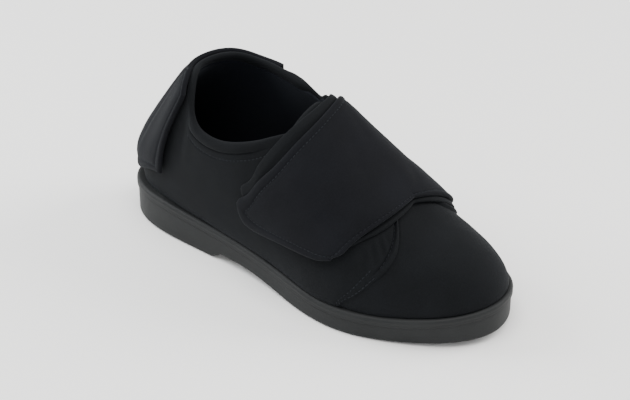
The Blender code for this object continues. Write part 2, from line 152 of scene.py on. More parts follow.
@functools.lru_cache(maxsize=None)
def edgePoint(turn, side):
    if turn < 0:
        turn, side = -turn, -side
    elif turn > 1:
        turn, side = 2 - turn, -side
    return shareOf(turn) * lastSizes["length"], side * edgeOf[side](turn) * lastSizes["ballWidth"]


@functools.lru_cache(maxsize=None)
def insetEdge(turn, side, inset):
    x, y = edgePoint(turn, side)
    back, front = edgePoint(turn - 0.001, side), edgePoint(turn + 0.001, side)
    dx, dy = front[0] - back[0], front[1] - back[1]
    run = math.hypot(dx, dy)
    return x + side * inset * dy / run, y - side * inset * dx / run


def soleTop(x):
    share = x / lastSizes["length"]
    drop = min(max((share - 0.15) / 0.5, 0), 1)
    rise = max((share - 0.75) / 0.25, 0)
    fall = lastSizes["foreTop"] - lastSizes["heelTop"]
    return lastSizes["heelTop"] + fall * drop + lastSizes["toeRise"] * rise * rise


@functools.lru_cache(maxsize=None)
def section(turn):
    return [curve(turn) for curve in sectionOf]


@functools.lru_cache(maxsize=400000)
def bare(turn, down):
    # down is 0 on the ridge, -1 at the outer sole edge and +1 at the inner one
    if turn < 0:
        turn, down = -turn, -down
    elif turn > 1:
        turn, down = 2 - turn, -down
    side = -1 if down < 0 else 1
    spine, aside, ridge, across, up, swell, inset, tilt = section(turn)
    footX, footY = insetEdge(turn, side, inset * lastSizes["feather"])
    spineX, spineY = spine * lastSizes["length"], aside * lastSizes["ballWidth"]
    low, high = soleTop(footX) + lastSizes["gap"], ridge * lastSizes["instep"]
    angle = (1 - abs(down)) * math.pi / 2
    out = max(math.cos(angle), 0) ** (2 / across)
    rise = math.sin(angle) ** (2 / up)
    dx, dy = footX - spineX, footY - spineY
    fall = tilt * dx * out * (1 - out) ** 2
    out *= 1 + swell * lastSizes["ballWidth"] * math.sin(math.pi * rise**0.6) / math.hypot(dx, dy)
    x, y, z = spineX + dx * out, spineY + dy * out, low + (high - low) * rise - fall
    over = max(z - lastSizes["leanStart"], 0)
    fade = 0.5 + 0.5 * math.cos(math.pi * min(max(x / lastSizes["leanReach"], 0), 1))
    x += lastSizes["leanRate"] * fade * over * over / (over + lastSizes["leanEase"])
    return Vector((x, y, z)) + shift


def slopeOf(turn, down):
    along = bare(turn + 0.001, down) - bare(turn - 0.001, down)
    across = bare(turn, min(down + 0.001, 1)) - bare(turn, max(down - 0.001, -1))
    normal = along.cross(across)
    if abs(down) > 0.999:
        normal.z = 0
    return normal.normalized()


def facing(turn, down, half=0.02):
    if abs(down) >= half:
        return slopeOf(turn, down)
    inner = (down + half) / (2 * half)
    return (slopeOf(turn, -half) * (1 - inner) + slopeOf(turn, half) * inner).normalized()


def skin(turn, down, offset):
    return bare(turn, down) + facing(turn, down) * offset


def metresPerDown(turn, down):
    low, high = max(down - 0.01, -1), min(down + 0.01, 1)
    return (bare(turn, high) - bare(turn, low)).length / (high - low)


def furthest(holds):
    low, high = 0.0, 1.0
    if not holds(low):
        return 0.0
    for _ in range(20):
        middle = (low + high) / 2
        low, high = (middle, high) if holds(middle) else (low, middle)
    return low


# the throat closes at its end; from there on the vamp is whole
throat = {"start": 0.49, "end": 0.66, "innerNarrows": 0.45, "half": {-1: 0.026, 1: 0.012}}
closed = turnOf(throat["end"]) - 1e-9


@functools.lru_cache(maxsize=None)
def openingEdge(turn, side):
    height = collarOf[side](turn) * lastSizes["collar"]
    along = max((shareOf(turn) - throat["start"]) / (throat["end"] - throat["start"]), 0)
    narrow = ramp(throat["innerNarrows"], throat["start"], shareOf(turn))
    width = throat["half"][-1] + (throat["half"][side] - throat["half"][-1]) * narrow
    width *= math.sqrt(max(1 - along * along, 0))
    ridge = bare(turn, 0.0)
    collar = furthest(lambda down: bare(turn, side * down).z > height)
    gap = furthest(lambda down: (bare(turn, side * down) - ridge).length < width)
    return (collar**8 + gap**8) ** (1 / 8)


def softness(point, size, depth):
    # slow rise and fall of padded cloth
    return depth * noise.noise(point / size)


# modelling helpers
def finishPiece(name, mesh, material, node, outwards=True):
    bmesh.ops.remove_doubles(mesh, verts=mesh.verts, dist=0.000004)
    if outwards:
        bmesh.ops.recalc_face_normals(mesh, faces=mesh.faces)
    data = bpy.data.meshes.new(name)
    mesh.to_mesh(data)
    mesh.free()
    data.shade_smooth()
    data.materials.append(material)
    piece = bpy.data.objects.new(name, data)
    bpy.context.collection.objects.link(piece)
    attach(piece, "root")
    if node:
        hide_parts(node)
    print("made", name, len(data.polygons), "faces")
    return piece


def layGrid(mesh, columns, rows, place, skip=None):
    # a grid whose corners are moved to place(column, row), with metres along it as its UV
    wide, high = len(columns) - 1, len(rows) - 1
    made = bmesh.ops.create_grid(mesh, x_segments=wide, y_segments=high, size=1)["verts"]
    spot = {}
    for vertex in made:
        i = round((vertex.co.x + 1) / 2 * wide)
        j = round((vertex.co.y + 1) / 2 * high)
        spot[vertex] = i, j
        vertex.co = place(columns[i], rows[j])
    at = {spot[vertex]: vertex.co.copy() for vertex in made}
    middle = high // 2
    runs, rises = [0.0], [0.0]
    for i in range(wide):
        runs.append(runs[-1] + (at[i + 1, middle] - at[i, middle]).length)
    for j in range(high):
        rises.append(rises[-1] + (at[wide // 3, j + 1] - at[wide // 3, j]).length)
    layer = mesh.loops.layers.uv.verify()
    unwanted = []
    for face in {face for vertex in made for face in vertex.link_faces}:
        for loop in face.loops:
            i, j = spot[loop.vert]
            loop[layer].uv = runs[i], rises[j]
        if skip and skip(min(spot[v][0] for v in face.verts), min(spot[v][1] for v in face.verts)):
            unwanted.append(face)
    bmesh.ops.delete(mesh, geom=unwanted, context="FACES")


def stops(*marks):
    # values between (stop, steps to the next) marks
    values = []
    for (start, steps), (end, _) in zip(marks, marks[1:]):
        values += [start + (end - start) * k / steps for k in range(steps)]
    return values + [marks[-1][0]]


def roundTrip(turns):
    return [(turn, -1) for turn in turns] + [(turn, 1) for turn in reversed(turns)][1:]


def edgeStops(length, step, near=(0, 0.12, 0.4, 0.8, 1.3, 1.8, 2.3, 2.8, 3.2, 3.6, 4.0, 4.5, 5.2)):
    # shares of a length in mm, close together near both ends
    inner = near[-1]
    count = max(round((length - 2 * inner) / step), 1)
    middle = [inner + (length - 2 * inner) * k / count for k in range(1, count)]
    return [d / length for d in (*near, *middle, *(length - d for d in reversed(near)))]


def padded(name, place, size, profile, material, node, step=2.2):
    # closed pad: two sheets that meet at its edge; profile gives their heights
    wide, high = size

    def leaf(top):
        def put(a, b):
            border = min(a * wide, (1 - a) * wide, b * high, (1 - b) * high)
            under, over = profile(border, a, b)
            return place(a, b, (over if top else under) * mm)
        return put

    mesh = bmesh.new()
    for top in (True, False):
        layGrid(mesh, edgeStops(wide, step), edgeStops(high, step), leaf(top))
    return finishPiece(name, mesh, material, node)


def roundedEdge(border, thick, radius):
    # half thickness of a pad with a turned edge
    t = min(max(1 - border / radius, 0), 1)
    return thick / 2 * math.sqrt(1 - t * t)


def sewRow(mesh, path, pitch, length, thick, lift=0.0):
    # threads laid along (point, normal) samples
    samples = list(path)
    gone, following = 0.0, pitch / 2
    for (start, normal), (end, _) in zip(samples, samples[1:]):
        run = (end - start).length
        while run > 0 and following <= gone + run:
            heading = (end - start).normalized()
            across = normal.cross(heading).normalized()
            middle = start + heading * (following - gone) + normal * lift
            turned = Matrix((heading, across, normal)).transposed().to_4x4()
            size = Matrix.Diagonal((length / 2, thick / 2, thick / 2.4, 1))
            bmesh.ops.create_uvsphere(
                mesh, u_segments=6, v_segments=5, radius=1,
                matrix=Matrix.Translation(middle) @ turned @ size @ Matrix.Rotation(math.pi / 2, 4, "Y"))
            following += pitch
        gone += run


def sew(name, rows, pitch, length, thick, material):
    mesh = bmesh.new()
    for path, lift in rows:
        sewRow(mesh, path, pitch * mm, length * mm, thick * mm, lift * mm)
    return finishPiece(name, mesh, material, None, False)


# shader maths
class Wire:
    def __init__(self, made, socket):
        self.made, self.socket = made, socket

    def join(self, kind, left, right):
        return self.made.node("ShaderNodeMath", {"operation": kind}, {0: left, 1: right})

    def __add__(self, other):
        return self.join("ADD", self, other)

    def __mul__(self, other):
        return self.join("MULTIPLY", self, other)

    __radd__, __rmul__ = __add__, __mul__


class Finish:
    def __init__(self, name, **constants):
        self.material = bpy.data.materials.new(name)
        self.material.use_nodes = True
        self.tree = self.material.node_tree
        self.shader = self.tree.nodes["Principled BSDF"]
        for key, value in constants.items():
            self.shader.inputs[key.replace("_", " ")].default_value = value

    def node(self, kind, settings=None, sockets=None, output=0):
        made = self.tree.nodes.new(kind)
        for key, value in (settings or {}).items():
            if key == "stops":
                for element, (place, colour) in zip(made.color_ramp.elements, value):
                    element.position, element.color = place, colour
            else:
                setattr(made, key, value)
        for key, value in (sockets or {}).items():
            if isinstance(value, Wire):
                self.tree.links.new(value.socket, made.inputs[key])
            else:
                made.inputs[key].default_value = value
        return Wire(self, made.outputs[output])

    def feed(self, key, wire):
        self.tree.links.new(wire.socket, self.shader.inputs[key])

    def cloudy(self, scale, detail=3.0):
        place = self.node("ShaderNodeTexCoord", output="Object")
        return self.node("ShaderNodeTexNoise", sockets={"Vector": place, "Scale": scale, "Detail": detail})

    def tint(self, mask, dark, light):
        steps = [(0.3, (*dark, 1)), (0.7, (*light, 1))]
        return self.node("ShaderNodeValToRGB", {"stops": steps}, {"Fac": mask})

    def raised(self, height, strength, distance):
        self.feed("Normal", self.node("ShaderNodeBump", sockets={
            "Height": height, "Strength": strength, "Distance": distance}))


def clothFinish(name, dark, light, knit, fuzz, sheen, rough=(0.80, 0.95)):
    # stretch cloth: fine knit ribs from the piece's own UV, fuzz and slow shading
    made = Finish(
        name, Sheen_Weight=sheen, Sheen_Roughness=0.45, Sheen_Tint=(0.82, 0.9, 1, 1), Specular_IOR_Level=0.11)
    place = made.node("ShaderNodeUVMap")
    parts = made.node("ShaderNodeSeparateXYZ", sockets={0: place})
    up = made.node("ShaderNodeSeparateXYZ", sockets={0: place}, output=1)
    wave = 2 * math.pi / (knit * mm)
    ribs = made.node("ShaderNodeMath", {"operation": "SINE"}, {0: parts * wave})
    rows = made.node("ShaderNodeMath", {"operation": "SINE"}, {0: up * wave * 0.8})
    weave = ribs * rows * 0.5 + 0.5
    grain = made.cloudy(1 / (0.9 * mm), 4.0)
    slow = made.cloudy(34.0, 2.0)
    made.feed("Base Color", made.tint(slow * 0.6 + grain * 0.28 + weave * 0.12, dark, light))
    made.feed("Roughness", slow * (rough[1] - rough[0]) + rough[0])
    made.raised(weave * 0.4 + grain * 0.6, fuzz, 0.0005)
    return made.material


def rubberFinish(name, dark, light, pebble):
    made = Finish(name, Specular_IOR_Level=0.22)
    grain = made.cloudy(1 / (1.1 * mm), 3.0)
    mottle = made.cloudy(60.0, 4.0)
    made.feed("Base Color", made.tint(mottle * 0.75 + grain * 0.25, dark, light))
    made.feed("Roughness", mottle * 0.25 + 0.48)
    made.raised(grain * 0.7 + mottle * 0.3, pebble, 0.0005)
    return made.material


black = clothFinish("blackCloth", (0.0022, 0.0027, 0.0034), (0.0056, 0.0064, 0.0076), 0.9, 0.36, 0.020)
strapCloth = clothFinish("strapCloth", (0.0022, 0.0025, 0.0036), (0.0054, 0.0059, 0.0078), 0.8, 0.34, 0.020)
lining = clothFinish("navyLining", (0.0018, 0.0024, 0.0042), (0.0032, 0.0042, 0.0070), 1.1, 0.35, 0.04)
rubber = rubberFinish("greyRubber", (0.0062, 0.0070, 0.0075), (0.0140, 0.0152, 0.0156), 0.32)
thread = clothFinish("blackThread", (0.007, 0.008, 0.010), (0.014, 0.016, 0.019), 0.3, 0.2, 0.08)
print("finishes ready")

# unit sole: rounded lip, wall, breast, waist and a shallow wavy tread
sole = {
    "lip": 2.6 * mm,
    "lipHeight": 5.2 * mm,
    "lipProud": 0.9 * mm,
    "edge": 2.2 * mm,
    "breast": (0.302, 0.332),
    "waist": (0.382, 0.60),
    "spring": 0.72,
    "treadDepth": 0.9 * mm,
    "treadPitch": 6.5 * mm,
    "treadMargin": 7 * mm,
    "treadWave": (2.2 * mm, 14 * mm),
    "lipFall": 1.1 * mm,
}


def soleFloor(x):
    share = x / lastSizes["length"]
    foot, head = sole["breast"]
    breast = min(max((share - foot) / (head - foot), 0), 1)
    waist = 1 - ramp(*sole["waist"], share)
    spring = max((share - sole["spring"]) / (1 - sole["spring"]), 0)
    return lastSizes["waistLift"] * breast * waist + lastSizes["toeSpring"] * spring * spring


def makeSole():
    lip, proud, height, edge = sole["lip"], sole["lipProud"], sole["lipHeight"], sole["edge"]
    rungs = [("cover", lip, 1 - k / 4) for k in range(4)]
    for k in range(9):
        angle = math.pi / 2 * k / 8
        rungs.append(("top", lip * (1 - math.sin(angle)), lip * (1 - math.cos(angle))))
    for k in range(1, 5):
        rungs.append(("top", 0.15 * mm * math.sin(math.pi * k / 4), lip + (height - lip) * k / 4))
    for k in range(1, 5):
        t = k / 4
        inset = proud * ramp(0, 1, t) + 0.3 * mm * math.sin(math.pi * t)
        rungs.append(("top", inset, height + sole["lipFall"] * t))
    for k in range(1, 8):
        rungs.append(("wall", proud, k / 8))
    for k in range(7):
        angle = math.pi / 2 * k / 6
        rungs.append(("floor", proud + edge * (1 - math.cos(angle)), edge * (1 - math.sin(angle))))
    for k in range(1, 25):
        rungs.append(("tread", proud + edge, k / 24))

    def place(turnAndSide, rung):
        turn, side = turnAndSide
        kind, inset, level = rung
        x, y = insetEdge(turn, side, inset)
        if kind in ("cover", "tread"):
            farX, farY = insetEdge(turn, -side, inset)
            x, y = x + (farX - x) / 2 * level, y + (farY - y) / 2 * level
        if kind in ("cover", "top"):
            return Vector((x, y, soleTop(x) - (level if kind == "top" else 0))) + shift
        floor = soleFloor(x)
        if kind == "wall":
            high = soleTop(x) - height - sole["lipFall"]
            return Vector((x, y, high + (floor + edge - high) * level)) + shift
        if kind == "floor":
            return Vector((x, y, floor + level)) + shift
        rimX, rimY = insetEdge(turn, side, inset)
        fromEdge = math.hypot(x - rimX, y - rimY)
        depth, length = sole["treadWave"]
        wavy = x + depth * math.sin(2 * math.pi * y / length)
        groove = ramp(0.62, 0.80, math.sin(2 * math.pi * wavy / sole["treadPitch"]) * 0.5 + 0.5)
        share = x / lastSizes["length"]
        foot, head = sole["breast"]
        level = 1 - ramp(foot - 0.03, foot - 0.015, share) + ramp(head + 0.03, head + 0.045, share)
        inside = ramp(sole["treadMargin"], sole["treadMargin"] + 2 * mm, fromEdge + 2 * mm) * level
        return Vector((x, y, floor + sole["treadDepth"] * groove * inside)) + shift

    turns = [turnOf(share) for share in stops((0, 30), (0.02, 28), (0.12, 66), (sole["breast"][0], 8),
                                              (sole["breast"][1], 220), (0.98, 30), (1, 0))]
    mesh = bmesh.new()
    layGrid(mesh, roundTrip(turns), rungs, place)
    return finishPiece("soleUnit", mesh, rubber, "outsole")


makeSole()

# insole: flat sock, its rim slightly raised, over the sole
insole = {"inset": 2.2 * 3 * mm + 3.8 * mm, "low": 0.3 * mm, "thick": 3.0 * mm, "cup": 1.0 * mm}


def makeInsole():
    rungs = [("top", k / 20) for k in range(20, -1, -1)]
    rungs += [("rim", k / 6) for k in range(1, 7)] + [("under", 1.0)]

    def place(turnAndSide, rung):
        turn, side = turnAndSide
        kind, level = rung
        inset = insole["inset"] + (insole["thick"] / 2 if kind == "top" else 0)
        x, y = insetEdge(turn, side, inset)
        base = insole["low"]
        if kind == "top":
            farX, farY = insetEdge(turn, -side, inset)
            x, y = x + (farX - x) / 2 * level, y + (farY - y) / 2 * level
            cup = insole["cup"] * math.exp(-level * 9)
            return Vector((x, y, soleTop(x) + base + insole["thick"] - insole["cup"] + cup)) + shift
        if kind == "rim":
            angle = math.pi / 2 * level
            bulge = insole["thick"] / 2 * (1 - math.sin(angle))
            x, y = insetEdge(turn, side, insole["inset"] + bulge)
            return Vector((x, y, soleTop(x) + base + insole["thick"] * (0.5 + 0.5 * math.cos(angle)))) + shift
        farX, farY = insetEdge(turn, -side, inset)
        return Vector(((x + farX) / 2, (y + farY) / 2, soleTop(x) + base)) + shift

    mesh = bmesh.new()
    layGrid(mesh, roundTrip(stops((0, 150), (1, 0))), rungs, place)
    return finishPiece("insoleSock", mesh, lining, "insole")


makeInsole()

# upper: one textile shell with a padded collar roll and quarters lapped over the vamp
upper = {
    "lap": 1.2,
    "shell": 1.3,
    "lining": (1.5, 3.0),
    "rollWidth": 7.8,
    "rollOut": 1.5,
    "rollIn": 1.9,
    "rollReach": {-1: (0.18, 0.47), 1: (0.32, 0.44)},
    "rollFade": 0.05,
    "bindWidth": 3.6,
    "bindProud": 0.85,
    "seamTurn": 0.68,
    "seamEdge": 0.0014,
    "pullBack": 0.07,
    "pullFront": 0.09,
    "mmPerTurn": 387,
    "edgeZone": 18,
    "rimInset": 3.0,
    "lastRow": 3.3,
    "rollSeam": 12.8,
}
quarterEdge = Spline(
    (0, 0.10, 0.22, 0.33, 0.42, 0.51, 0.60, 0.72, 0.84, 1),
    (0.735, 0.747, 0.784, 0.806, 0.811, 0.807, 0.795, 0.770, 0.743, 0.705))
# listed creases: side, start (share, down), end (share, down), half width and depth in mm
creases = (
    (-1, (0.752, 0.40), (0.790, 0.52), 1.3, 0.55),
    (-1, (0.742, 0.46), (0.776, 0.60), 1.4, 0.60),
    (-1, (0.728, 0.52), (0.752, 0.68), 1.6, 0.50),
    (-1, (0.706, 0.60), (0.722, 0.76), 1.8, 0.40),
    (-1, (0.765, 0.36), (0.797, 0.44), 1.1, 0.40),
    (-1, (0.16, 0.72), (0.20, 0.90), 3.0, 0.45),
    (-1, (0.38, 0.55), (0.30, 0.66), 3.5, 0.40),
    (-1, (0.24, 0.62), (0.34, 0.70), 3.0, 0.30),
    (1, (0.752, 0.40), (0.785, 0.55), 1.6, 0.55),
    (1, (0.735, 0.50), (0.760, 0.66), 1.8, 0.50),
    (1, (0.34, 0.60), (0.44, 0.74), 3.5, 0.45),
    (1, (0.30, 0.75), (0.42, 0.84), 3.5, 0.35),
)
creaseLines = [(side, bare(turnOf(a[0]), side * a[1]), bare(turnOf(b[0]), side * b[1]), width * mm, depth)
               for side, a, b, width, depth in creases]


def creased(point, side):
    # depth in mm of the listed creases, with a low swell beside each
    total = 0.0
    for where, start, end, width, depth in creaseLines:
        if where != side:
            continue
        run = end - start
        along = (point - start).dot(run) / run.length_squared
        if -0.2 < along < 1.2:
            away = (point - start - run * min(max(along, 0), 1)).length
            if away < 6 * width:
                fade = ramp(-0.2, 0.3, along) * (1 - ramp(0.7, 1.2, along))
                total += depth * fade * (ridgeOf(0, width, away) - 0.45 * ridgeOf(2.2 * width, width, away))
    return total


def rollAt(turn, side):
    starts, ends = upper["rollReach"][side]
    share = shareOf(turn)
    fade = upper["rollFade"]
    front = 1 - ramp(ends - fade, ends, share)
    return ramp(starts, starts + fade, share) * front, front


def seamTurn(turn, down):
    # columns near the quarters' front edge lie on that edge
    reach = upper["pullBack"] if turn < upper["seamTurn"] else upper["pullFront"]
    pull = max(1 - abs(turn - upper["seamTurn"]) / reach, 0)
    return turn + pull * (turnOf(quarterEdge(abs(down))) - upper["seamTurn"])


def outerOffset(turn, side, down, fromEdge, fromFoot):
    # mm outwards of the bare last
    out, _ = rollAt(turn, side)
    behind = (upper["seamTurn"] - turn) * upper["mmPerTurn"]
    quarter = 1 if turn < upper["seamTurn"] else 0
    bound = 1 - ramp(0.58, 0.70, abs(down))
    lap = upper["lap"] * (0.55 + 0.45 * bound) * quarter
    lap += (upper["lap"] - lap) * ramp(4, 14, behind) * quarter
    if quarter and behind < 20:
        bead = ridgeOf(1.7, 1.3, behind) - 1.5 * ridgeOf(upper["bindWidth"], 0.7, behind)
        lap += bound * upper["bindProud"] * bead
        lap -= (1 - bound) * 0.36 * (ridgeOf(1.6, 0.6, behind) + ridgeOf(6.4, 0.6, behind))
    if not quarter:
        lap -= 0.45 * ridgeOf(0.9, 1.0, -behind)
    t = min(max(fromEdge / upper["rollWidth"], 0), 1)
    roll = out * upper["rollOut"] * math.sin(math.pi * t) ** 0.7
    roll -= out * 0.60 * ridgeOf(upper["rollWidth"] + 0.3, 0.6, fromEdge)
    roll -= out * 0.38 * ridgeOf(upper["rollSeam"], 0.55, fromEdge)
    tuck = -0.55 * math.exp(-fromFoot / 1.3)
    return lap + roll + tuck


def innerOffset(turn, side, fromEdge):
    _, into = rollAt(turn, side)
    t = min(max(fromEdge / 8.5, 0), 1)
    return -upper["shell"] - into * upper["rollIn"] * math.sin(math.pi * t) ** 0.6


# mm from the collar's edge, close together at the roll's seams
edgeRows = (18, 16, 14.6, 13.8, 13.3, 13.0, 12.8, 12.6, 12.3, 11.8, 11, 10,
            9.3, 8.8, 8.4, 8.1, 7.8, 7.4, 6.8, 6, 5, 4, 3.3)
seam = upper["seamTurn"]
wallTurns = stops(
    (0, 90), (turnOf(throat["start"]), 36), (turnOf(throat["end"]), 8),
    (seam - 0.035, 12), (seam - 0.014, 14), (seam - upper["seamEdge"], 2),
    (seam + upper["seamEdge"], 5), (seam + 0.02, 14), (seam + upper["pullFront"], 56), (1, 0))


@functools.lru_cache(maxsize=None)
def columnFacts(turn, side):
    edge = openingEdge(turn, side)
    perDown = metresPerDown(turn, side * min(edge + 0.05, 1)) / mm
    whole = (1 - edge) * perDown
    return edge, perDown, whole


def wallPoint(turn, side, fromEdge):
    edge, perDown, _ = columnFacts(turn, side)
    down = side * min(edge + max(fromEdge, 0) / perDown, 1)
    return seamTurn(turn, down), down


def relief(point, side):
    # mm of soft fill, less the creases
    return softness(point, 0.030, 0.5) + softness(point, 0.011, 0.14) - creased(point, side)


def makeUpper():
    rows = [("out", k / 44) for k in range(44)]
    rows += [("outEdge", d) for d in edgeRows]
    rows += [("rim", k / 10) for k in range(11)]
    rows += [("inEdge", d) for d in reversed(edgeRows)]
    rows += [("in", 1 - k / 12) for k in range(1, 13)]
    rows.append(rows[0])
    firstRim = 44 + len(edgeRows) - 1
    lastRim = firstRim + 11
    zone, last = upper["edgeZone"], upper["lastRow"]

    def place(turnAndSide, row):
        turn, side = turnAndSide
        kind, value = row
        _, _, whole = columnFacts(turn, side)
        if kind in ("out", "in"):
            fromEdge = zone + (whole - zone) * (1 - value)
        elif kind == "rim":
            fromEdge = upper["rimInset"]
        else:
            fromEdge = value
        if turn >= closed and kind != "rim" and fromEdge <= zone:
            # both sides meet on the ridge of the vamp
            fromEdge = max(fromEdge - last, 0) * zone / (zone - last)
        where, down = wallPoint(turn, side, fromEdge)
        outer = outerOffset(turn, side, down, fromEdge, whole - fromEdge)
        inner = innerOffset(turn, side, fromEdge)
        if kind in ("out", "outEdge"):
            return skin(where, down, (outer + relief(bare(where, down), side)) * mm)
        if kind in ("in", "inEdge"):
            return skin(where, down, inner * mm)
        angle = math.pi * value
        half = (outer - inner) / 2
        reach = 0 if turn >= closed else upper["rimInset"]
        where, down = wallPoint(turn, side, reach * (1 - math.sin(angle)))
        return skin(where, down, (outer + inner) / 2 * mm + half * math.cos(angle) * mm)

    columns = roundTrip(wallTurns)

    def skip(i, j):
        # no rim over the vamp, where both sides join on the ridge
        turn = min(columns[i][0], columns[i + 1][0])
        return turn >= closed and firstRim <= j < lastRim

    mesh = bmesh.new()
    layGrid(mesh, columns, rows, place, skip)
    return finishPiece("upperShell", mesh, black, "upper")


makeUpper()


def makeLining():
    count = 40
    rows = [("in", k / count) for k in range(count + 1)] + [("top", k / 6) for k in range(1, 6)]
    rows += [("back", k / 6) for k in range(7)] + [("in", 0.0)]

    def place(turnAndSide, row):
        turn, side = turnAndSide
        kind, value = row
        _, into = rollAt(turn, side)
        _, _, whole = columnFacts(turn, side)
        top = 2.0 + 5.2 * into if turn < closed else -0.8
        outer, inner = upper["lining"]
        if kind == "in":
            fromEdge = top + 0.8 + (whole - top - 0.8) * (1 - value)
            where, down = wallPoint(turn, side, fromEdge)
            point = bare(where, down)
            soft = softness(point, 0.022, 0.35)
            return skin(where, down, -(inner + soft * 0.5) * mm)
        if kind == "top":
            angle = math.pi * value
            where, down = wallPoint(turn, side, max(top + 0.8 * (1 - math.sin(angle)), 0))
            return skin(where, down, -((inner + outer) / 2 + (inner - outer) / 2 * math.cos(angle)) * mm)
        fromEdge = top + 0.8 + (whole - top - 0.8) * value
        where, down = wallPoint(turn, side, fromEdge)
        return skin(where, down, -outer * mm)

    columns = roundTrip(wallTurns[::2] + [1.0] if wallTurns[::2][-1] != 1 else wallTurns[::2])

    def skip(i, j):
        turn = min(columns[i][0], columns[i + 1][0])
        return turn >= closed and count <= j < count + 6

    mesh = bmesh.new()
    layGrid(mesh, columns, rows, place, skip)
    return finishPiece("upperLining", mesh, lining, "upper")


makeLining()

# tongue: padded, with a bound roll along its top edge
tongue = {
    "top": 0.496,
    "curve": 0.016,
    "toe": 0.705,
    "half": 0.43,
    "low": -8.7,
    "thick": 4.5,
    "size": (58, 72),
}


def onTongue(a, b, height):
    over = a * 2 - 1
    top = tongue["top"] - tongue["curve"] * over * over
    share = top + (tongue["toe"] - top) * b
    return turnOf(share), over * tongue["half"], height


def tongueProfile(border, a, b):
    fromTop = b * tongue["size"][1]
    half = roundedEdge(border, tongue["thick"], 2.4)
    bound = ridgeOf(2.8, 2.2, fromTop) * 0.5 - 0.7 * ridgeOf(6.2, 0.8, fromTop)
    middle = tongue["low"] + tongue["thick"] / 2
    puff = 0.35 * math.sin(math.pi * a) if border > 3 else 0
    return middle - half, middle + half + (bound + puff) * min(border / 2.4, 1)


padded("tonguePad", lambda a, b, h: skin(*onTongue(a, b, h)), tongue["size"], tongueProfile,
       black, "tongue")

# instep strap on its wider under layer: edges from the free end over to the root
strap = {
    "root": 0.93,
    "baseShort": 0.05,
    "baseMargin": 0.0075,
    "baseLow": 1.8,
    "baseThick": 1.4,
    "low": 3.8,
    "thick": 3.6,
    "size": (84, 158),
    "stitchIn": 4.2,
}
strapEdges = {
    "over": (0, 0.03, 0.08, 0.15, 0.25, 0.35, 0.50, 0.65, 0.80, 1),
    "back": (0.410, 0.428, 0.452, 0.481, 0.507, 0.521, 0.518, 0.498, 0.478, 0.450),
    "front": (0.676, 0.689, 0.704, 0.722, 0.750, 0.773, 0.791, 0.786, 0.765, 0.705),
    "margin": (0, 0.1, 0.4, 0.8, 0.9, 0.8, 0.6, 0.6, 0.5, 0.5),
}
strapBack = Spline(strapEdges["over"], strapEdges["back"])
strapFront = Spline(strapEdges["over"], strapEdges["front"])
strapMargin = Spline(strapEdges["over"], strapEdges["margin"])
strapEnd = Spline(
    (0, 0.04, 0.12, 0.30, 0.56, 0.78, 0.91, 1),
    (0.856, 0.886, 0.898, 0.872, 0.820, 0.775, 0.740, 0.700), True)


def onStrap(widen, shorten):
    def place(a, b):
        margin = widen * strapMargin(b) / lastSizes["length"]
        back, front = strapBack(b) - margin, strapFront(b) + margin
        free = shorten - strapEnd(a)
        return turnOf(back + (front - back) * a), free + (strap["root"] - free) * b
    return place


basePlace, strapPlace = onStrap(strap["baseMargin"], strap["baseShort"]), onStrap(0, 0)


def baseProfile(border, a, b):
    # a bound edge that stands up as a flat bead
    side = min(a, 1 - a) * strap["size"][0]
    half = roundedEdge(border, strap["baseThick"], 0.9)
    bead = (0.9 * ridgeOf(3.2, 2.3, side) - 0.45 * ridgeOf(6.6, 0.7, side)) * min(border, 1)
    middle = strap["baseLow"] + strap["baseThick"] / 2
    return middle - half, middle + half + bead


def strapProfile(border, a, b):
    # turned edge, a pressed line of stitches and a soft fill
    half = roundedEdge(border, strap["thick"], 1.9)
    pressed = 0.55 * ridgeOf(strap["stitchIn"], 0.7, border)
    fill = 0.5 * ramp(strap["stitchIn"], strap["stitchIn"] + 9, border)
    middle = strap["low"] + strap["thick"] / 2
    return middle - half, middle + half - pressed + fill


# soft marks on the strap: start and end (across, over), half width and height in mm
strapMarks = (
    ((0.28, 0.42), (0.46, 0.37), 3.2, -0.55),
    ((0.14, 0.52), (0.30, 0.49), 4.5, -0.45),
    ((0.70, 0.56), (0.88, 0.50), 4.0, -0.35),
    ((0.20, 0.20), (0.52, 0.16), 7.0, 0.45),
    ((0.55, 0.30), (0.84, 0.24), 8.0, 0.40),
    ((0.40, 0.70), (0.62, 0.66), 5.0, -0.40),
)


def strapRelief(a, b):
    wide, high = strap["size"]
    total = 0.0
    for start, end, width, height in strapMarks:
        run = Vector(((end[0] - start[0]) * wide, (end[1] - start[1]) * high))
        away = Vector(((a - start[0]) * wide, (b - start[1]) * high))
        along = away.dot(run) / run.length_squared
        off = (away - run * min(max(along, 0), 1)).length
        total += height * ridgeOf(0, width, off)
    return total


def strapPoint(a, b, height):
    turn, down = strapPlace(a, b)
    point = bare(turn, down)
    inside = min(min(a, 1 - a) * strap["size"][0], min(b, 1 - b) * strap["size"][1], 6) / 6
    soft = (softness(point, 0.028, 0.55) + softness(point, 0.010, 0.12)) * inside
    return skin(turn, down, height + (strapRelief(a, b) * inside + soft) * mm)


padded("strapBase", lambda a, b, h: skin(*basePlace(a, b), h), strap["size"], baseProfile,
       black, "strap_base")
padded("strapPad", strapPoint, strap["size"], strapProfile, strapCloth, "strap", 1.7)

# heel strap: from its free end on the outer side round the heel to its root
heelStrap = {
    "endLow": 0.160,
    "endTop": 0.125,
    "root": 0.300,
    "short": 0.012,
    "low": 1.8,
    "thick": 3.6,
    "size": (170, 84),
    "stand": 3.2,
    "standReach": 26,
    "stitchIn": 4.4,
    "foldAt": 0.205,
    "foldWidth": 0.020,
    "foldDepth": 0.8,
}
heelLow = Spline((0, 0.15, 0.40, 0.70, 1), (0.950, 0.972, 0.995, 0.990, 0.970))


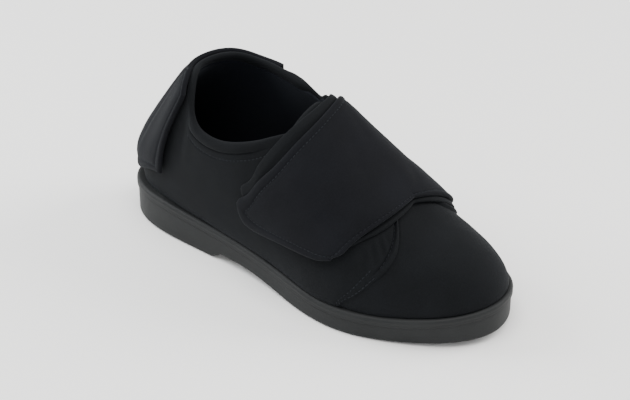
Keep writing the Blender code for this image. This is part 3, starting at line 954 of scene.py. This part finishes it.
def onHeelStrap(a, b):
    end = heelStrap["endLow"] + (heelStrap["endTop"] - heelStrap["endLow"]) * b
    turn = -turnOf(end) + (turnOf(heelStrap["root"]) + turnOf(end)) * a
    side = 1 if turn > 0 else -1
    bottom = heelLow(a)
    top = openingEdge(abs(turn), side) + heelStrap["short"]
    return abs(turn), side * (bottom + (top - bottom) * b)


def heelProfile(border, a, b):
    half = roundedEdge(border, heelStrap["thick"], 1.9)
    pressed = 0.6 * ridgeOf(heelStrap["stitchIn"], 0.7, border)
    fill = 0.6 * ramp(heelStrap["stitchIn"], heelStrap["stitchIn"] + 8, border)
    middle = heelStrap["low"] + heelStrap["thick"] / 2
    return middle - half, middle + half - pressed + fill


def heelPoint(a, b, height):
    turn, down = onHeelStrap(a, b)
    point = bare(turn, down)
    free = a * heelStrap["size"][0]
    stand = heelStrap["stand"] * (1 - ramp(0, heelStrap["standReach"], free))
    stand *= 0.45 + 0.55 * math.sin(math.pi * min(b * 1.15, 1))
    soft = softness(point, 0.026, 0.6) + softness(point, 0.010, 0.12)
    # the pressed fold where the band turns round the heel
    fold = ridgeOf(heelStrap["foldAt"], heelStrap["foldWidth"], a)
    fold *= heelStrap["foldDepth"] * ramp(0.0, 0.3, b)
    return skin(turn, down, height + (stand + soft * 0.8 - fold) * mm)


padded("heelStrapPad", heelPoint, heelStrap["size"], heelProfile,
       strapCloth, "heel_strap", 1.9)

# stitch rows, 3 mm apart or less, in black thread
stitch = {"pitch": 2.9, "length": 2.1, "thick": 0.66}


def padLine(point, place, profile, start, end, steps=160):
    for k in range(steps + 1):
        t = k / steps
        a, b = start[0] + (end[0] - start[0]) * t, start[1] + (end[1] - start[1]) * t
        wide, high = profile[1]
        border = min(a * wide, (1 - a) * wide, b * high, (1 - b) * high)
        height = profile[0](border, a, b)[1]
        turn, down = place(a, b)
        yield point(a, b, height * mm), facing(turn, down)


def wallLine(side, fromEdge, shares, steps=170):
    for k in range(steps + 1):
        turn = turnOf(shares[0] + (shares[1] - shares[0]) * k / steps)
        where, down = wallPoint(turn, side, fromEdge)
        _, _, whole = columnFacts(turn, side)
        offset = outerOffset(turn, side, down, fromEdge, whole - fromEdge)
        offset += relief(bare(where, down), side)
        yield skin(where, down, offset * mm), facing(where, down)


def seamLine(side, behind, downs, steps=120):
    for k in range(steps + 1):
        down = side * (downs[0] + (downs[1] - downs[0]) * k / steps)
        turn = upper["seamTurn"] - behind / upper["mmPerTurn"]
        where = seamTurn(turn, down)
        offset = outerOffset(turn, side, down, 40, 30)
        offset += relief(bare(where, down), side)
        yield skin(where, down, offset * mm), facing(where, down)


def baseFace(a, b, height):
    return skin(*basePlace(a, b), height)


inA, inB = strap["stitchIn"] / strap["size"][0], strap["stitchIn"] / strap["size"][1]
strapFace = (strapProfile, strap["size"])
sew("strapStitches", [
    (padLine(strapPoint, strapPlace, strapFace, (inA, inB), (inA, 0.99)), 0.05),
    (padLine(strapPoint, strapPlace, strapFace, (1 - inA, inB), (1 - inA, 0.99)), 0.05),
    (padLine(strapPoint, strapPlace, strapFace, (inA, inB), (1 - inA, inB)), 0.05),
    (padLine(strapPoint, strapPlace, strapFace, (inA, 1 - inB), (1 - inA, 1 - inB)), 0.05),
], stitch["pitch"], stitch["length"], stitch["thick"], thread)

beadA = 6.6 / strap["size"][0]
baseFaces = (baseProfile, strap["size"])
sew("baseStitches", [
    (padLine(baseFace, basePlace, baseFaces, (beadA, 0.04), (beadA, 0.99)), 0.05),
    (padLine(baseFace, basePlace, baseFaces, (1 - beadA, 0.04), (1 - beadA, 0.99)), 0.05),
], stitch["pitch"], stitch["length"], stitch["thick"], thread)

endA, endB = heelStrap["stitchIn"] / heelStrap["size"][0], heelStrap["stitchIn"] / heelStrap["size"][1]
heelFace = (heelProfile, heelStrap["size"])
sew("heelStrapStitches", [
    (padLine(heelPoint, onHeelStrap, heelFace, (endA, endB), (endA, 1 - endB)), 0.05),
    (padLine(heelPoint, onHeelStrap, heelFace, (endA, endB), (1 - endA, endB)), 0.05),
    (padLine(heelPoint, onHeelStrap, heelFace, (endA, 1 - endB), (1 - endA, 1 - endB)), 0.05),
    (padLine(heelPoint, onHeelStrap, heelFace, (1 - endA, endB), (1 - endA, 1 - endB)), 0.05),
    (padLine(heelPoint, onHeelStrap, heelFace, (1 - 2.2 * endA, endB), (1 - 2.2 * endA, 1 - endB)), 0.05),
], stitch["pitch"], stitch["length"], stitch["thick"], thread)

sew("collarStitches", [
    (wallLine(-1, upper["rollSeam"], (0.20, 0.46)), 0.05),
    (wallLine(1, upper["rollSeam"], (0.33, 0.43)), 0.05),
    (seamLine(-1, 1.6, (0.66, 0.97)), 0.08), (seamLine(-1, 6.4, (0.62, 0.97)), 0.08),
    (seamLine(1, 1.6, (0.66, 0.97)), 0.08), (seamLine(1, 6.4, (0.62, 0.97)), 0.08),
    (seamLine(-1, 3.6, (0.20, 0.60)), 0.05), (seamLine(1, 3.6, (0.20, 0.60)), 0.05),
], stitch["pitch"], stitch["length"], stitch["thick"], thread)
print("stitches sewn")

# floor, lights and camera
studio = {
    "floorSize": 3.0,
    "floor": (0.93, 0.93, 0.92, 1),
    "world": 0.85,
    # name: azimuth, elevation, distance, size, power, colour
    "lights": {
        "topSoft": (20, 78, 1.6, 1.3, 24, (1.0, 0.99, 0.97)),
        "heelSoft": (-75, 30, 1.5, 1.0, 22, (0.96, 0.98, 1.0)),
        "toeSoft": (140, 32, 1.6, 1.0, 22, (1.0, 0.98, 0.96)),
        "frontSoft": (30, 18, 1.9, 1.4, 7, (0.97, 0.98, 1.0)),
    },
    "azimuth": 36.2,
    "elevation": 32.8,
    "distance": 1.2,
    "aim": Vector((0, shift.y, 0.040)),
    "lens": 1.516 * 1200 * 36 / 630,
    "shift": 8.5 / 630,
}


def around(azimuth, elevation):
    a, e = math.radians(azimuth), math.radians(elevation)
    return Vector((math.sin(a) * math.cos(e), -math.cos(a) * math.cos(e), math.sin(e)))


def makeStudio():
    mesh = bmesh.new()
    bmesh.ops.create_grid(mesh, x_segments=1, y_segments=1, size=studio["floorSize"])
    data = bpy.data.meshes.new("floor")
    mesh.to_mesh(data)
    mesh.free()
    pale = Finish("paleFloor", Base_Color=studio["floor"], Roughness=0.9)
    data.materials.append(pale.material)
    floor = bpy.data.objects.new("floor", data)
    bpy.context.collection.objects.link(floor)

    world = bpy.data.worlds.new("softSky")
    world.use_nodes = True
    world.node_tree.nodes["Background"].inputs["Color"].default_value = (1, 1, 1, 1)
    world.node_tree.nodes["Background"].inputs["Strength"].default_value = studio["world"]
    bpy.context.scene.world = world
    for name, (azimuth, elevation, distance, size, power, colour) in studio["lights"].items():
        lamp = bpy.data.lights.new(name, "AREA")
        lamp.shape, lamp.size, lamp.energy, lamp.color = "DISK", size, power, colour
        thing = bpy.data.objects.new(name, lamp)
        back = around(azimuth, elevation)
        thing.location = studio["aim"] + back * distance
        thing.rotation_euler = back.to_track_quat("Z", "Y").to_euler()
        bpy.context.collection.objects.link(thing)

    camera = bpy.data.objects.new("camera", bpy.data.cameras.new("camera"))
    back = around(studio["azimuth"], studio["elevation"])
    camera.location = studio["aim"] + back * studio["distance"]
    camera.rotation_euler = back.to_track_quat("Z", "Y").to_euler()
    camera.data.sensor_width, camera.data.lens = 36, studio["lens"]
    camera.data.shift_y = studio["shift"]
    camera.data.clip_start, camera.data.clip_end = 0.05, 20
    bpy.context.collection.objects.link(camera)
    bpy.context.scene.camera = camera


makeStudio()
bpy.context.view_layer.update()
